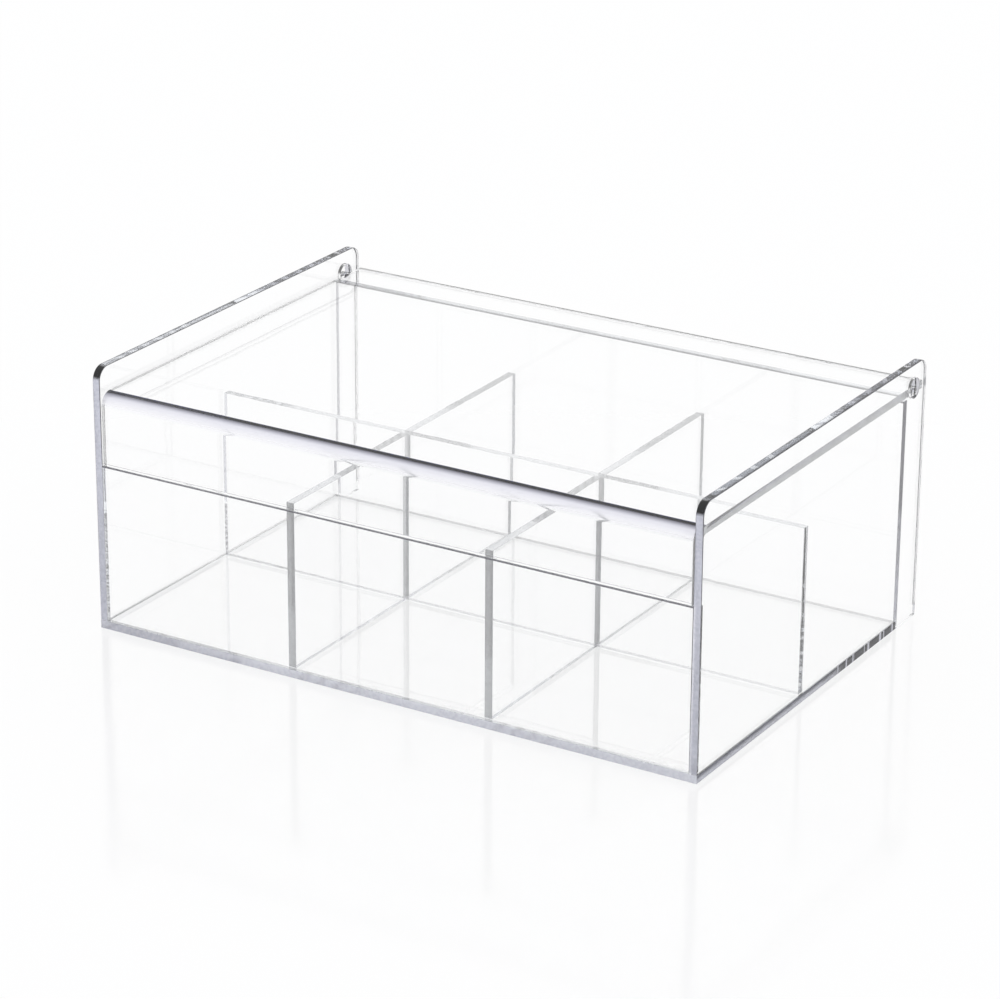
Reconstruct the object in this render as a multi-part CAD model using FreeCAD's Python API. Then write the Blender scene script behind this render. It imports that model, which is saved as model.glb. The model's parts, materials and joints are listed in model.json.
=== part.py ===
"""Clear acrylic tea bag box: six compartments under one heat-bent, hinged lid.

Millimetres. X runs to the right, Y to the back and Z up. The origin lies on the
table, below the middle of the box. Every piece is cut from the same clear sheet.
"""
import FreeCAD, Part
import os
from math import cos, hypot, radians, sin

# Driving sizes
sheet = 3.0               # thickness of the acrylic
case_width = 240.0        # over both side panels, and the width of the base
case_depth = 164.0        # front edge to rear edge of a side panel
case_height = 98.0        # table to the top edge of a side panel
corner_radius = 5.0       # upper corners of the side panels
rear_overhang = 13.0      # side panels reach this far behind the back panel
front_height = 62.0       # table to the top edge of the front panel
lid_drop = 9.0            # lid's top face below the side panels' top edges
bend_radius = 2.0         # inside of the lid's heat bend
divider_rise = 2.0        # dividers' top edges above the front panel's
columns = 3               # compartments side by side, in each of two rows
hinge_inset = 9.0         # hinge axis in front of the side panels' rear edges
hinge_rise = 3.0          # hinge axis above the lid's underside
ear_width = 3.6           # lid ears, front to back

# Clearances
lid_side_gap = 0.5        # lid to each side panel
lid_rest_gap = 0.3        # lid above the front and back panels
ear_end_gap = 0.2         # ears end this far inside the outer faces
ear_play = 0.1            # corners of a turning ear to its hole
flap_gap = 0.4            # closed flap to the front ends of the front cross dividers

# Places worked out from the sizes above
left = -case_width / 2
right = case_width / 2
front = -case_depth / 2
rear = case_depth / 2
inner_left = left + sheet
inner_right = right - sheet
inner_width = inner_right - inner_left
back_face = rear - rear_overhang
inner_back = back_face - sheet
inner_front = front + sheet
lid_top = case_height - lid_drop
lid_underside = lid_top - sheet
flap_bottom = front_height + lid_rest_gap
hinge_y = rear - hinge_inset
hinge_z = lid_underside + hinge_rise
ear_reach = hypot(ear_width / 2, max(hinge_rise, sheet - hinge_rise))
hole_radius = ear_reach + ear_play
divider_top = front_height + divider_rise
row_depth = (inner_back - inner_front - sheet) / 2
front_row_end = inner_front + row_depth
rear_row_start = inner_back - row_depth
column_width = (inner_width - (columns - 1) * sheet) / columns


def block(x0, x1, y0, y1, z0, z1):
    """Rectangular piece of sheet between two opposite corners."""
    return Part.makeBox(x1 - x0, y1 - y0, z1 - z0, FreeCAD.Vector(x0, y0, z0))


def side_view(y, z):
    """Point of an outline that is drawn in the plane of the side panels."""
    return FreeCAD.Vector(0, y, z)


def round_corner(y, z, radius, first, last):
    """Arc about (y, z) between two angles in degrees, counted from +Y towards +Z."""
    def on_arc(angle):
        return side_view(y + radius * cos(radians(angle)), z + radius * sin(radians(angle)))

    return Part.Arc(on_arc(first), on_arc((first + last) / 2), on_arc(last)).toShape()


def straight(*points):
    """Straight edges through the given outline points."""
    return Part.makePolygon([side_view(y, z) for y, z in points]).Edges


def extrude(edges, x0, x1):
    """Solid of a closed side-view outline, from x0 to x1."""
    face = Part.Face(Part.Wire(edges))
    face.translate(FreeCAD.Vector(x0, 0, 0))
    return face.extrude(FreeCAD.Vector(x1 - x0, 0, 0))


def base():
    """Floor of the box. Its ends show at the front and under both side panels."""
    return block(left, right, front, inner_back, 0, sheet)


def side_panel(x0, x1):
    """Side with rounded upper corners, a hinge hole, and a heel behind the base."""
    crown = case_height - corner_radius
    edges = [round_corner(front + corner_radius, crown, corner_radius, 180, 90)]
    edges += straight((front + corner_radius, case_height), (rear - corner_radius, case_height))
    edges.append(round_corner(rear - corner_radius, crown, corner_radius, 90, 0))
    edges += straight((rear, crown), (rear, 0), (inner_back, 0), (inner_back, sheet),
                      (front, sheet), (front, crown))
    hole = Part.makeCylinder(hole_radius, x1 - x0, FreeCAD.Vector(x0, hinge_y, hinge_z),
                             FreeCAD.Vector(1, 0, 0))
    return extrude(edges, x0, x1).cut(hole)


def front_panel():
    """Low front, between the side panels and standing on the base."""
    return block(inner_left, inner_right, front, inner_front, sheet, front_height)


def back_panel():
    """Back between the side panels, standing on the table behind the base."""
    top = lid_underside - lid_rest_gap
    return block(inner_left, inner_right, inner_back, back_face, 0, top)


def lid():
    """Top and front flap bent from one sheet, with an ear at each end for the hinge."""
    outer = bend_radius + sheet
    bend_y = front + outer
    bend_z = lid_top - outer
    edges = [round_corner(bend_y, bend_z, outer, 180, 90)]
    edges += straight((bend_y, lid_top), (rear, lid_top), (rear, lid_underside),
                      (bend_y, lid_underside))
    edges.append(round_corner(bend_y, bend_z, bend_radius, 90, 180))
    edges += straight((inner_front, bend_z), (inner_front, flap_bottom),
                      (front, flap_bottom), (front, bend_z))
    bent_sheet = extrude(edges, inner_left + lid_side_gap, inner_right - lid_side_gap)
    ears = block(left + ear_end_gap, right - ear_end_gap,
                 hinge_y - ear_width / 2, hinge_y + ear_width / 2, lid_underside, lid_top)
    return bent_sheet.fuse(ears).removeSplitter()


def column_line(number):
    """X of the middle of a cross divider, counted from 1 at the left."""
    return inner_left + number * (column_width + sheet) - sheet / 2


def long_divider():
    """Divider between the two rows, unbroken from side to side."""
    return block(inner_left, inner_right, front_row_end, rear_row_start, sheet, divider_top)


def cross_divider(number, y0, y1):
    """Divider between two columns of one row, butted against the long divider."""
    x = column_line(number)
    return block(x - sheet / 2, x + sheet / 2, y0, y1, sheet, divider_top)


def pieces():
    """Every piece of the box under its own name."""
    named = {
        "base": base(),
        "left_side_panel": side_panel(left, inner_left),
        "right_side_panel": side_panel(inner_right, right),
        "front_panel": front_panel(),
        "back_panel": back_panel(),
        "lid": lid(),
        "long_divider": long_divider(),
    }
    for number in range(1, columns):
        named["front_cross_divider_%d" % number] = cross_divider(
            number, inner_front + flap_gap, front_row_end)
        named["rear_cross_divider_%d" % number] = cross_divider(
            number, rear_row_start, inner_back)
    return named


os.makedirs("parts", exist_ok=True)
for name, shape in pieces().items():
    shape.exportStep("parts/%s.step" % name)
    print("%-23s valid %s, solids %d, %.0f mm3" % (name, shape.isValid(), len(shape.Solids), shape.Volume))
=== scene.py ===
"""Looks of the clear acrylic tea bag box: cut edges, sheet material, floor, light and camera.

Metres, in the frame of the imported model: X to the right, Y to the back, Z up, table at 0.
"""
import json
from math import cos, pi, radians, sin

import bmesh
import bpy
from mathutils import Matrix, Vector


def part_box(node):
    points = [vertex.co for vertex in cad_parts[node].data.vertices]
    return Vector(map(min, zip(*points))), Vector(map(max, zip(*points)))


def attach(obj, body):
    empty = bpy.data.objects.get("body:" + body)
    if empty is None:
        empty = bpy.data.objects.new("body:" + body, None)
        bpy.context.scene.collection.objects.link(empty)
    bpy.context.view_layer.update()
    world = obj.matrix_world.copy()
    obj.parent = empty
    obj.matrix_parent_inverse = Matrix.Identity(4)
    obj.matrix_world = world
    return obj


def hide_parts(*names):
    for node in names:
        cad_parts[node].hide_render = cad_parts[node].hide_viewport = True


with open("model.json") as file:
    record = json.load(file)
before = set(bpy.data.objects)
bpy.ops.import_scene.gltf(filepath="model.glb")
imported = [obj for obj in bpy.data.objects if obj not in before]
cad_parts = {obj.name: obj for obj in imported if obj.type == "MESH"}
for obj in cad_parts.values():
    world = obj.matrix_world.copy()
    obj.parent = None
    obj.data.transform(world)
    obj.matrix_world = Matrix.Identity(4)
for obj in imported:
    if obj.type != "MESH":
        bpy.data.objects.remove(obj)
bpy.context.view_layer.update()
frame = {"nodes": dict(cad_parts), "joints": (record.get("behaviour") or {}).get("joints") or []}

# Places that the frame gives
HINGE = Vector(frame["joints"][0]["pos_m"])
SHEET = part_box("base")[1][2]                    # thickness of the acrylic
SIDE_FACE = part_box("right_side_panel")[0][0]    # inner face, in X
LID_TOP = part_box("lid")[1][2]

# Sizes that the frame doesn't state
CORNER_RADIUS = 0.005       # upper corners of the side panels
BEND_RADIUS = 0.002         # inside of the lid's heat bend
EAR_WIDTH = 0.0036          # lid ears, front to back
HOLE_RADIUS = 0.0036        # hinge holes
LID_SIDE_GAP = 0.0005       # lid to each side panel

# Finish of the edges
SIDE_BREAK = 0.0003         # break along the side panels' free edges
FINE_BREAK = 0.0001         # along the edges of the base and the lid
CEMENTED_BREAK = 0.00003    # on sheets that are cemented in between others
BREAK_STEPS = 2
CEMENT_LAP = 0.00001        # cemented sheets reach this far into each other
ARC_STEPS = 24              # straight steps in a quarter turn
SHARP = radians(35)         # edges that turn more than this are cut edges
FLAT = radians(0.1)         # edges that turn less than this are left out
ORDER = Vector((1.0, 11.3, 127.9))      # puts the parts of a mesh in a fixed order

# Camera
AIM = Vector((-0.0036, -0.0016, 0.0463))
DISTANCE = 1.356
AZIMUTH = radians(31.045)   # to the right of straight ahead
ELEVATION = radians(21.755)
ROLL = radians(0.36)
FOCAL_LENGTH = 138.5        # in mm, as the sensor
SENSOR_WIDTH = 36

# Floor
FLOOR_DROP = 0.0001         # keeps the floor clear of the undersides
FLOOR_RADIUS = 12.0
FLOOR_SIDES = 128
FLOOR_COLOUR = (0.93, 0.93, 0.97, 1.0)
FLOOR_WHITE = 0.93          # share that shows as plain white, the rest takes light and shadow
FLOOR_IOR = 1.5
FLOOR_ROUGHNESS = 0.1

# Colours of the acrylic. Apart from CLEAR and the depth tint they are painted shade, where edges,
# bend and corners show a dark surround; sawn edges are also really matt. A pair is the darkest
# and the lightest streak of a cut edge.
CLEAR = (1.0, 1.0, 1.0, 1.0)
POLISHED_EDGE_SHADE = ((0.70, 0.70, 0.78, 1.0), (0.82, 0.82, 0.90, 1.0))
SAWN_EDGE_SHADE = ((0.78, 0.78, 0.79, 1.0), (0.86, 0.86, 0.87, 1.0))
RIM_SHADE = (0.03, 0.03, 0.04, 1.0)           # painted shade on the narrow break between a face and a cut edge
SEAM_SHADE = (0.18, 0.18, 0.20, 1.0)          # painted shade, a line along a panel's upper front edge
ROUNDED_CORNER_SHADE = (0.001, 0.001, 0.002, 1.0)    # painted shade on the upper corners of the side panels
INNER_SHADE = (0.92, 0.92, 0.95, 1.0)   # painted shade on the side panels' top edges, beside the inner face
OUTER_SHADE = (0.02, 0.02, 0.03, 1.0)   # and beside the outer face
BASE_END_SHADE = (0.06, 0.06, 0.09, 1.0)      # painted shade on the upper part of the base's right end
BASE_DASH_SHADE = (0.005, 0.005, 0.01, 1.0)   # dashes of deeper painted shade across it, to the rear
DEPTH_TINT = (0.55, 0.68, 0.85, 1.0)    # of light that passes through the sheet
DEPTH_DENSITY = 1.5                     # per metre

# Painted shade round the lid's outer bend, from the top (0) to the flap (1): place, colour, matt
# share
BEND_SHADE = (
    (0.00, CLEAR, 0.0),
    (0.03, (0.00, 0.00, 0.01, 1.0), 0.0),
    (0.12, (0.00, 0.00, 0.01, 1.0), 0.0),
    (0.20, (0.05, 0.05, 0.07, 1.0), 0.4),
    (0.28, (0.33, 0.33, 0.39, 1.0), 0.8),
    (0.38, (0.65, 0.65, 0.74, 1.0), 0.8),
    (0.50, (0.80, 0.80, 0.88, 1.0), 0.7),
    (0.62, (0.86, 0.86, 0.93, 1.0), 0.6),
    (0.76, (0.92, 0.92, 0.97, 1.0), 0.4),
    (0.90, (0.97, 0.97, 1.00, 1.0), 0.15),
    (1.00, CLEAR, 0.0),
)

# Surface of the acrylic, and the noise that streaks and dashes its painted edge shade
IOR = 1.49
EDGE_ROUGHNESS = 0.3        # where all light is scattered
SMUDGE_ROUGHNESS = 0.01
SMUDGE_SCALE = 35.0         # these four are features per metre
STREAK_SCALE = 900.0
WAVE_SCALE = 45.0
DASH_SCALE = 420.0
SMUDGES = (0.4, 0.8)        # limits of the noise, from none to full
STREAKS = (0.35, 0.65)
DASH_GAPS = (0.52, 0.62)
WAVE_STRENGTH = 0.02
WAVE_HEIGHT = 0.001

# Limits for masks by the surface's direction
FACING = (0.6, 0.9)         # share along an axis: turned away from it, and looking along it
MIDWAY = (0.05, 0.35)       # product of two shares: looking along one axis, and between both
LEVEL = (0.3, 0.6)          # share along Z: upright edge, and level edge
UPWARDS = (0.7, 0.95)       # share along Z: rounded corner, and top edge
REARWARDS = (0.5, 0.9)      # share along Y: the lid's faces, and its rear edge

# Limits for masks by place
CEMENTED_HEIGHT = 1.1 * SHEET           # edges of an upright sheet below this are cemented
HOLE_REACH = 1.2 * HOLE_RADIUS          # wall of the hinge hole and its breaks
SIDE_OUTER = (SIDE_FACE + 0.5 * SHEET, SIDE_FACE + 0.95 * SHEET)
BASE_UPPER = (0.3 * SHEET, 0.8 * SHEET)
DASH_START = (0.010, 0.026)             # in Y
REAR_LINE = (LID_TOP - 0.0024, LID_TOP - 0.0012)
SEAM_WIDTH = 0.00045                    # measured down and back from the edge

# Shares of painted shade or matt surface
SIDE_RIM = 0.85
HOLE_RIM = 0.4              # of the side panel's rim, on the hinge hole's breaks
LID_RIM = 0.6
REAR_RIM = 1.2              # of the lid's rim, along its rear edge
CORNER_MATT = 0.9
BASE_LOWER_SHADE = 0.2
DASH_SHADE = 0.95           # over the full height of the base's end
DASH_MATT = 0.8
GAP_LIGHT = 0.8

# Light paths
BOUNCES = 48
GLOSSY_BOUNCES = 32
TRANSPARENT_BOUNCES = 24


class Nodes:
    """Short calls for building a node tree."""

    def __init__(self, tree):
        self.tree = tree
        tree.nodes.clear()

    def add(self, kind, **settings):
        node = self.tree.nodes.new("ShaderNode" + kind)
        for name, value in settings.items():
            setattr(node, name, value)
        return node

    def put(self, source, socket):
        """Feeds a socket with an output, or sets its value."""
        if isinstance(source, bpy.types.NodeSocket):
            self.tree.links.new(source, socket)
        else:
            socket.default_value = source

    def math(self, operation, *values):
        node = self.add("Math", operation=operation)
        for socket, value in zip(node.inputs, values):
            self.put(value, socket)
        return node.outputs[0]

    def both(self, *masks):
        """Product of masks or shares."""
        product = masks[0]
        for mask in masks[1:]:
            product = self.math("MULTIPLY", product, mask)
        return product

    def either(self, first, second):
        return self.math("MAXIMUM", first, second)

    def rest(self, mask):
        """What a mask or share leaves of 1."""
        return self.math("SUBTRACT", 1.0, mask)

    def size(self, value):
        return self.math("ABSOLUTE", value)

    def above(self, value, limit):
        """1 where the value is greater than the limit."""
        return self.math("GREATER_THAN", value, limit)

    def ramp(self, value, low, high, to_low=0.0, to_high=1.0):
        node = self.add("MapRange", interpolation_type="SMOOTHSTEP")
        for socket, number in zip(node.inputs, (value, low, high, to_low, to_high)):
            self.put(number, socket)
        return node.outputs[0]

    def facing(self, component):
        """1 where the surface looks along an axis, either way."""
        return self.ramp(self.size(component), *FACING)

    def between(self, first, second):
        """1 where the surface looks midway between two axes, 0 where it looks along either."""
        return self.ramp(self.size(self.both(first, second)), *MIDWAY)

    def mix(self, factor, first, second, blend="MIX"):
        node = self.add("Mix", data_type="RGBA", blend_type=blend)
        for name, value in (("Factor_Float", factor), ("A_Color", first), ("B_Color", second)):
            self.put(value, next(s for s in node.inputs if s.identifier == name))
        return next(s for s in node.outputs if s.identifier == "Result_Color")

    def stops(self, value, places_and_colours):
        """Colours placed along a value from 0 to 1."""
        node = self.add("ValToRGB")
        self.put(value, node.inputs["Fac"])
        stops = node.color_ramp.elements
        while len(stops) < len(places_and_colours):
            stops.new(1.0)
        for stop, (place, colour) in zip(stops, places_and_colours):
            stop.position = place
            stop.color = colour
        return node.outputs["Color"]

    def blend(self, factor, first, second):
        """Blend of two shaders."""
        node = self.add("MixShader")
        self.put(factor, node.inputs[0])
        self.put(first.outputs[0], node.inputs[1])
        self.put(second.outputs[0], node.inputs[2])
        return node

    def noise(self, coordinates, scale, detail=2.0):
        node = self.add("TexNoise")
        self.put(coordinates, node.inputs["Vector"])
        node.inputs["Scale"].default_value = scale
        node.inputs["Detail"].default_value = detail
        return node.outputs["Fac"]

    def split(self, vector):
        node = self.add("SeparateXYZ")
        self.put(vector, node.inputs[0])
        return node.outputs

    def from_axis(self, place, y, z):
        """Square of the distance to an axis that runs along X."""
        squares = [self.math("POWER", self.math("SUBTRACT", place[name], centre), 2.0)
                   for name, centre in (("Y", y), ("Z", z))]
        return self.math("ADD", *squares)


def new_material(name):
    material = bpy.data.materials.new(name)
    material.use_nodes = True
    return material, Nodes(material.node_tree)


def acrylic(name, edge_and_rim, edge_shades, matt, extra=None):
    """Clear cast sheet with painted shade on its cut edges and on the breaks beside them.

    edge_and_rim(n, normal, place) gives two masks: 1 on cut edges, and 1 on the narrow
    breaks beside them. matt is the share of the cut edges that scatters light.
    extra(n, normal, place, colour, matt) may change the colour and the matt share.
    """
    material, n = new_material(name)
    where = n.add("TexCoord")
    place = where.outputs["Object"]
    axes = n.split(where.outputs["Normal"]), n.split(place)
    edge, rim = edge_and_rim(n, *axes)
    shader = n.add("BsdfPrincipled")
    shader.inputs["IOR"].default_value = IOR

    streaks = n.ramp(n.noise(place, STREAK_SCALE, 3.0), *STREAKS)
    # Painted shade on the cut edges, streaked at random
    colour = n.mix(edge, CLEAR, n.mix(streaks, *edge_shades))
    scatter = n.both(edge, matt)
    if extra:
        colour, scatter = extra(n, *axes, colour, scatter)
    # Painted shade on the narrow breaks beside the cut edges
    colour = n.mix(rim, colour, RIM_SHADE)
    scatter = n.either(scatter, rim)
    smudges = n.ramp(n.noise(place, SMUDGE_SCALE), *SMUDGES, 0.0, SMUDGE_ROUGHNESS)
    roughness = n.math("ADD", smudges, n.both(scatter, EDGE_ROUGHNESS))
    n.put(colour, shader.inputs["Base Color"])
    n.put(roughness, shader.inputs["Roughness"])
    n.put(n.rest(scatter), shader.inputs["Transmission Weight"])

    # Cast sheet is never quite flat
    bump = n.add("Bump")
    bump.inputs["Strength"].default_value = WAVE_STRENGTH
    bump.inputs["Distance"].default_value = WAVE_HEIGHT
    n.put(n.noise(place, WAVE_SCALE), bump.inputs["Height"])
    n.put(bump.outputs["Normal"], shader.inputs["Normal"])

    depth = n.add("VolumeAbsorption")
    depth.inputs["Color"].default_value = DEPTH_TINT
    depth.inputs["Density"].default_value = DEPTH_DENSITY
    output = n.add("OutputMaterial")
    n.put(shader.outputs[0], output.inputs["Surface"])
    n.put(depth.outputs[0], output.inputs["Volume"])
    return material


def face_and_break(n, component):
    """Masks for looking along an axis, and for looking midway away from it."""
    along = n.size(component)
    across = n.math("SQRT", n.rest(n.both(along, along)))
    return n.facing(component), n.between(along, across)


def flat_sheet(axis, top=1.0, ends=1.0, rims=0.0):
    """Masks for a flat sheet whose broad faces look along axis.

    top and ends weigh the upper edge of an upright sheet and its other edges, and rims
    weighs the breaks. The lower edge is cemented and stays clear.
    """
    def edge_and_rim(n, normal, place):
        broad, rim = face_and_break(n, normal[axis])
        edge = n.rest(broad)
        if axis != "Z":
            # A normal turns round where it is seen from inside, so height tells top from bottom
            free = n.above(place["Z"], CEMENTED_HEIGHT)
            weight = n.both(n.ramp(n.size(normal["Z"]), *LEVEL, ends, top), free)
            edge = n.both(edge, weight)
            rim = n.both(rim, weight)
        return edge, n.both(rim, rims)
    return edge_and_rim


def side_sheet(n, normal, place):
    """Masks for a side panel: as for a flat sheet, but the hinge hole stays clear."""
    edge, rim = flat_sheet("X", rims=SIDE_RIM)(n, normal, place)
    off_hole = n.above(n.from_axis(place, HINGE.y, HINGE.z), HOLE_REACH ** 2)
    return n.both(edge, off_hole), n.both(rim, n.ramp(off_hole, 0.0, 1.0, HOLE_RIM, 1.0))


def bent_sheet(n, normal, place):
    """Masks for the lid: its ends but not its ears, their breaks, and its upper rear edge."""
    end, end_rim = face_and_break(n, normal["X"])
    off_ears = n.both(n.math("LESS_THAN", n.size(place["X"]), SIDE_FACE),
                      n.math("LESS_THAN", place["Y"], HINGE.y - EAR_WIDTH))
    rear = n.both(n.ramp(n.size(normal["Y"]), *REARWARDS), n.above(place["Y"], HINGE.y))
    rear_rim = n.both(rear, n.ramp(place["Z"], *REAR_LINE, 0.0, REAR_RIM))
    rim = n.either(rear_rim, n.both(end_rim, off_ears))
    return n.both(end, off_ears), n.both(rim, LID_RIM)


def heat_bend_shading(n, normal, place, colour, matt):
    """Paints shade on the outside of the lid's bend by how far it has turned from the top."""
    turned = n.math("ARCTAN2", n.both(normal["Y"], -1.0), normal["Z"])
    turned = n.math("DIVIDE", turned, pi / 2)
    painted_bend = n.stops(turned, [(at, tone) for at, tone, share in BEND_SHADE])
    shares = n.stops(turned, [(at, (share, share, share, 1.0)) for at, tone, share in BEND_SHADE])
    radius = BEND_RADIUS + SHEET
    from_axis = n.from_axis(place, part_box("lid")[0][1] + radius, LID_TOP - radius)
    outside = n.above(from_axis, (BEND_RADIUS + SHEET / 2) ** 2)
    painted_bend = n.mix(outside, CLEAR, painted_bend)
    return n.mix(1.0, colour, painted_bend, "MULTIPLY"), n.either(matt, n.both(shares, outside))


def seam(node, share):
    """Painted shade: a dark line along a panel's upper front edge."""
    low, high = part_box(node)

    def line(n, normal, place, colour, matt):
        near = n.both(n.above(place["Z"], high[2] - SEAM_WIDTH),
                      n.math("LESS_THAN", place["Y"], low[1] + SEAM_WIDTH))
        return n.mix(near, colour, SEAM_SHADE), n.either(matt, n.both(near, share))
    return line


def base_edge_shading(n, normal, place, colour, matt):
    """Paints shade on the base's right end, with dashes of deeper painted shade to the rear, and
    whitens its rear edge.

    The photograph shows the right end only. The rear edge is cemented to the back panel.
    """
    end = n.both(n.facing(normal["X"]), n.above(place["X"], 0.0))
    dashed = n.ramp(place["Y"], *DASH_START)
    upper = n.ramp(place["Z"], *BASE_UPPER, BASE_LOWER_SHADE, 1.0)
    end = n.both(end, n.either(upper, n.both(dashed, DASH_SHADE)))
    along = n.add("CombineXYZ")
    n.put(place["Y"], along.inputs["X"])
    gaps = n.both(dashed, n.ramp(n.noise(along.outputs[0], DASH_SCALE, 1.0), *DASH_GAPS))
    dark = n.mix(n.math("SUBTRACT", dashed, gaps), BASE_END_SHADE, BASE_DASH_SHADE)
    colour = n.mix(n.both(end, n.rest(n.both(gaps, GAP_LIGHT))), colour, dark)
    rear = n.both(n.facing(normal["Y"]), n.above(place["Y"], 0.0))
    return n.mix(rear, colour, CLEAR), n.either(matt, n.both(end, dashed, DASH_MATT))


def side_shading(n, normal, place, colour, matt):
    """Paints shade on a side panel's top edge, darker outwards, and darkest on its rounded upper
    corners.
    """
    top = n.ramp(normal["Z"], *UPWARDS)
    outwards = n.ramp(n.size(place["X"]), *SIDE_OUTER)
    colour = n.mix(top, colour, n.mix(outwards, INNER_SHADE, OUTER_SHADE))
    turning = n.between(normal["Y"], n.either(normal["Z"], 0.0))
    corner = n.both(turning, n.above(place["Z"], HINGE.z))
    matt = n.either(n.both(matt, n.rest(top)), n.both(corner, CORNER_MATT))
    return n.mix(corner, colour, ROUNDED_CORNER_SHADE), matt


def break_edges(piece, lap, width, which):
    """Breaks the cut edges, keeps broad faces truly flat and laps cemented faces."""
    weld = piece.modifiers.new("weld", "WELD")
    weld.merge_threshold = width / 100
    plain = piece.modifiers.new("plain_faces", "DECIMATE")
    plain.decimate_type = "DISSOLVE"
    plain.angle_limit = FLAT
    rounded = piece.modifiers.new("edge_break", "BEVEL")
    rounded.width = width
    rounded.segments = BREAK_STEPS
    rounded.limit_method = which
    rounded.angle_limit = SHARP
    rounded.use_clamp_overlap = False
    if lap:
        cement = piece.modifiers.new("cement", "DISPLACE")
        cement.strength = lap
        cement.mid_level = 0.0
    shading = piece.modifiers.new("flat_shading", "WEIGHTED_NORMAL")
    shading.weight = 100


def arc(centre_y, centre_z, radius, first, last, steps=ARC_STEPS):
    """Points (y, z) on an arc, angles in degrees from +Y towards +Z."""
    angles = [radians(first + (last - first) * i / steps) for i in range(steps + 1)]
    return [(centre_y + radius * cos(a), centre_z + radius * sin(a)) for a in angles]


def loop_of(work, x, points):
    """Vertices of a side-view outline, and the edges that close it."""
    corners = [work.verts.new((x, y, z)) for y, z in points]
    return corners, [work.edges.new((corners[i - 1], corners[i])) for i in range(len(corners))]


def thicken(work, faces, distance):
    """Extrudes faces along X and returns the new end faces."""
    grown = bmesh.ops.extrude_face_region(work, geom=faces)["geom"]
    moved = [part for part in grown if isinstance(part, bmesh.types.BMVert)]
    bmesh.ops.translate(work, verts=moved, vec=(distance, 0, 0))
    return [part for part in grown if isinstance(part, bmesh.types.BMFace)]


def in_order(work):
    """The same mesh listed by place, because repeated extrusions list it anew each run."""
    ordered = bmesh.new()
    copies = {}
    for corner in sorted(work.verts, key=lambda v: v.co.dot(ORDER)):
        copies[corner] = ordered.verts.new(corner.co)
    for face in sorted(work.faces, key=lambda f: f.calc_center_median().dot(ORDER)):
        corners = list(face.verts)
        first = min(range(len(corners)), key=lambda i: corners[i].co.dot(ORDER))
        ordered.faces.new([copies[corner] for corner in corners[first:] + corners[:first]])
    work.free()
    return ordered


def finish_piece(work, node, body, material, lap, width):
    """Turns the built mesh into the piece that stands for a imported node."""
    bmesh.ops.recalc_face_normals(work, faces=work.faces)
    bmesh.ops.dissolve_limit(work, angle_limit=FLAT, verts=work.verts, edges=work.edges)
    weights = work.edges.layers.float.new("bevel_weight_edge")
    for edge in work.edges:
        cemented = all(corner.co.z < CEMENTED_HEIGHT for corner in edge.verts)
        edge[weights] = float(edge.calc_face_angle(0.0) > SHARP and not cemented)
    mesh = bpy.data.meshes.new("smooth_" + node)
    work.to_mesh(mesh)
    work.free()
    mesh.shade_smooth()
    mesh.materials.append(material)
    piece = bpy.data.objects.new(mesh.name, mesh)
    bpy.context.scene.collection.objects.link(piece)
    break_edges(piece, lap, width, "WEIGHT")
    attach(piece, body)
    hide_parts(node)


def packed_sheet(node, material, width=CEMENTED_BREAK):
    """A packed sheet whose shape is right: only its breaks and material are added."""
    piece = frame["nodes"][node]
    piece.data.materials.clear()
    piece.data.materials.append(material)
    break_edges(piece, CEMENT_LAP, width, "ANGLE")


def side_panel(node, material):
    """Side panel with finely stepped corners and hinge hole."""
    low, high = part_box(node)
    sheet = high[0] - low[0]
    base_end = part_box("base")[1][1]
    crown = high[2] - CORNER_RADIUS
    outline = [(low[1], low[2] + sheet), (base_end, low[2] + sheet), (base_end, low[2]),
               (high[1], low[2])]
    outline += arc(high[1] - CORNER_RADIUS, crown, CORNER_RADIUS, 0, 90)
    outline += arc(low[1] + CORNER_RADIUS, crown, CORNER_RADIUS, 90, 180)
    hole = arc(HINGE.y, HINGE.z, HOLE_RADIUS, 0, 360, 4 * ARC_STEPS)[:-1]
    work = bmesh.new()
    edges = loop_of(work, low[0], outline)[1] + loop_of(work, low[0], hole)[1]
    filled = bmesh.ops.triangle_fill(work, edges=edges, use_beauty=True)["geom"]
    faces = [part for part in filled if isinstance(part, bmesh.types.BMFace)]
    thicken(work, faces, sheet)
    finish_piece(work, node, "case", material, CEMENT_LAP, SIDE_BREAK)


def lid(material):
    """Lid with a finely stepped bend, and an ear at each end."""
    low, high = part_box("lid")
    side = SIDE_FACE - LID_SIDE_GAP
    under = high[2] - SHEET
    bend_y, bend_z = low[1] + BEND_RADIUS + SHEET, under - BEND_RADIUS
    ear_front, ear_rear = HINGE.y - EAR_WIDTH / 2, HINGE.y + EAR_WIDTH / 2
    work = bmesh.new()
    bent = [(ear_front, high[2])] + arc(bend_y, bend_z, BEND_RADIUS + SHEET, 90, 180)
    bent += [(low[1], low[2]), (low[1] + SHEET, low[2])]
    bent += arc(bend_y, bend_z, BEND_RADIUS, 180, 90) + [(ear_front, under)]
    corners = loop_of(work, -side, bent)[0]
    ear_low, ear_high, tail_low, tail_high = [
        work.verts.new((-side, y, z)) for y in (ear_rear, high[1]) for z in (under, high[2])]
    front = work.faces.new(corners)
    ear = work.faces.new([corners[0], corners[-1], ear_low, ear_high])
    tail = work.faces.new([ear_high, ear_low, tail_low, tail_high])
    far_faces = thicken(work, [front, ear, tail], 2 * side)
    far_ear = next(f for f in far_faces if len(f.verts) == 4 and
                   abs(f.calc_center_median().y - HINGE.y) < EAR_WIDTH / 2)
    thicken(work, [far_ear], high[0] - side)
    thicken(work, [ear], low[0] + side)
    finish_piece(in_order(work), "lid", "lid", material, 0.0, FINE_BREAK)


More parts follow.
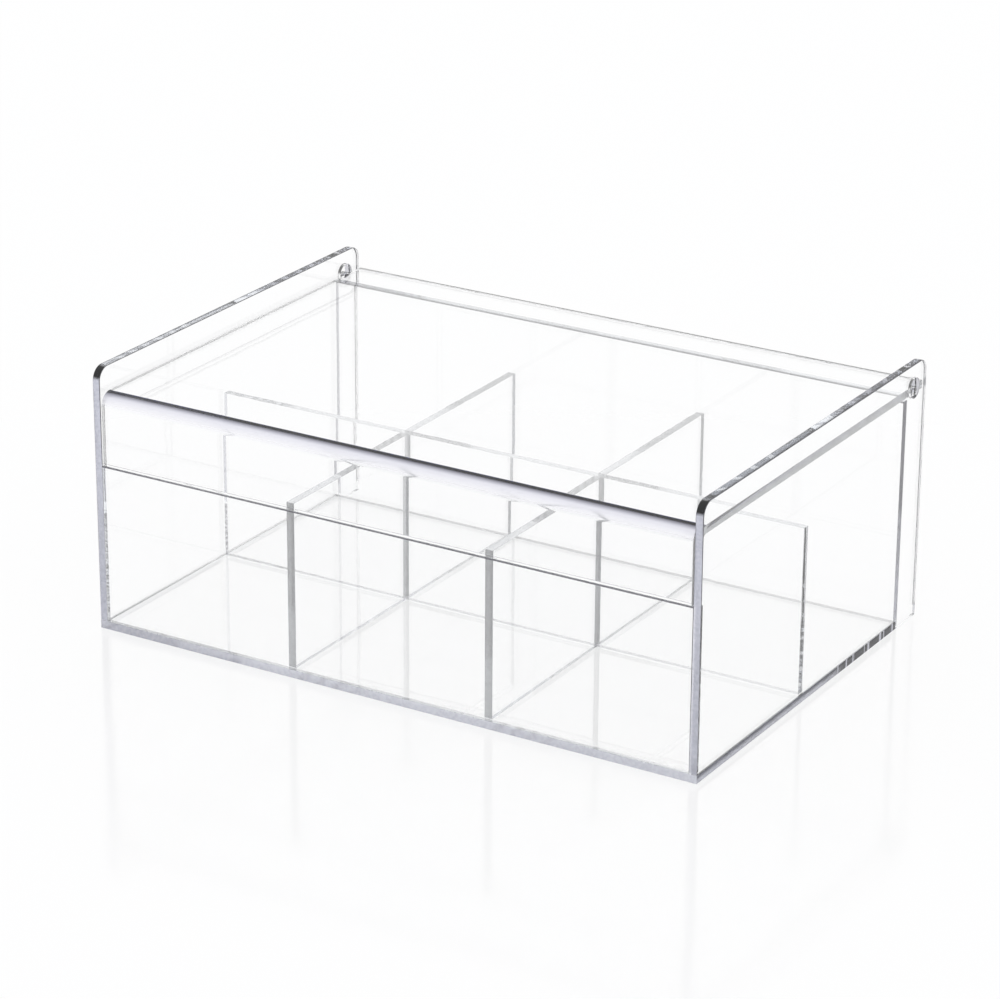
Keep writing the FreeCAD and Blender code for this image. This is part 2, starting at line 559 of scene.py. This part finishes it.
def dress_pieces():
    """Gives every piece its edges and its acrylic."""
    base = acrylic("acrylic_base", flat_sheet("Z"), POLISHED_EDGE_SHADE, 0.4, base_edge_shading)
    front = acrylic("acrylic_front", flat_sheet("Y", top=0.0, ends=0.0), POLISHED_EDGE_SHADE, 0.0,
                    seam("front_panel", 0.75))
    back = acrylic("acrylic_back", flat_sheet("Y", top=0.0), POLISHED_EDGE_SHADE, 0.3,
                   seam("back_panel", 0.6))
    long_divider = acrylic("acrylic_long_divider", flat_sheet("Y", top=0.35, ends=0.0),
                           SAWN_EDGE_SHADE, 0.6)
    cross_divider = acrylic("acrylic_cross_divider", flat_sheet("X", top=0.5, rims=0.15),
                            SAWN_EDGE_SHADE, 0.4)
    side = acrylic("acrylic_side", side_sheet, POLISHED_EDGE_SHADE, 0.35, side_shading)
    packed_sheet("base", base, FINE_BREAK)
    packed_sheet("front_panel", front)
    packed_sheet("back_panel", back)
    packed_sheet("long_divider", long_divider)
    for row in ("front", "rear"):
        for number in (1, 2):
            packed_sheet("%s_cross_divider_%d" % (row, number), cross_divider)
    for node in ("left_side_panel", "right_side_panel"):
        side_panel(node, side)
    lid(acrylic("acrylic_lid", bent_sheet, SAWN_EDGE_SHADE, 0.5, heat_bend_shading))


def camera():
    data = bpy.data.cameras.new("camera")
    data.lens = FOCAL_LENGTH
    data.sensor_width = SENSOR_WIDTH
    data.clip_end = 4 * FLOOR_RADIUS
    holder = bpy.data.objects.new("camera", data)
    bpy.context.scene.collection.objects.link(holder)
    towards = Vector((sin(AZIMUTH) * cos(ELEVATION), -cos(AZIMUTH) * cos(ELEVATION),
                      sin(ELEVATION)))
    aim = (-towards).to_track_quat("-Z", "Y").to_matrix() @ Matrix.Rotation(ROLL, 3, "Z")
    holder.matrix_world = Matrix.Translation(AIM + DISTANCE * towards) @ aim.to_4x4()
    bpy.context.scene.camera = holder


def floor():
    """Pale floor with a faint mirror image, that keeps a little shadow."""
    bpy.ops.mesh.primitive_circle_add(
        vertices=FLOOR_SIDES, radius=FLOOR_RADIUS, fill_type="NGON", location=(0, 0, -FLOOR_DROP))
    ground = bpy.context.object
    ground.name = "floor"
    material, n = new_material("white_floor")
    matt = n.add("BsdfDiffuse")
    matt.inputs["Color"].default_value = FLOOR_COLOUR
    gloss = n.add("BsdfGlossy")
    gloss.inputs["Color"].default_value = CLEAR
    gloss.inputs["Roughness"].default_value = FLOOR_ROUGHNESS
    mirrored = n.add("Fresnel")
    mirrored.inputs["IOR"].default_value = FLOOR_IOR

    # Rays that show the background: from the camera, mirrored, and through clear sheet
    path = n.add("LightPath").outputs
    seen = n.either(n.either(path["Is Camera Ray"], path["Is Glossy Ray"]),
                    path["Is Transmission Ray"])
    ground_shader = n.blend(n.both(seen, FLOOR_WHITE), matt, n.add("Emission"))
    n.put(n.blend(mirrored.outputs[0], ground_shader, gloss).outputs[0],
          n.add("OutputMaterial").inputs["Surface"])
    ground.data.materials.append(material)


def studio():
    """Plain white light from all round."""
    world = bpy.data.worlds.new("studio")
    bpy.context.scene.world = world
    world.use_nodes = True
    n = Nodes(world.node_tree)
    sky = n.add("Background")
    sky.inputs["Color"].default_value = CLEAR
    n.put(sky.outputs[0], n.add("OutputWorld").inputs["Surface"])


def render_settings():
    scene = bpy.context.scene
    scene.view_settings.view_transform = "Standard"
    scene.cycles.max_bounces = BOUNCES
    scene.cycles.transmission_bounces = BOUNCES
    scene.cycles.glossy_bounces = GLOSSY_BOUNCES
    scene.cycles.transparent_max_bounces = TRANSPARENT_BOUNCES


camera()
floor()
studio()
render_settings()
dress_pieces()
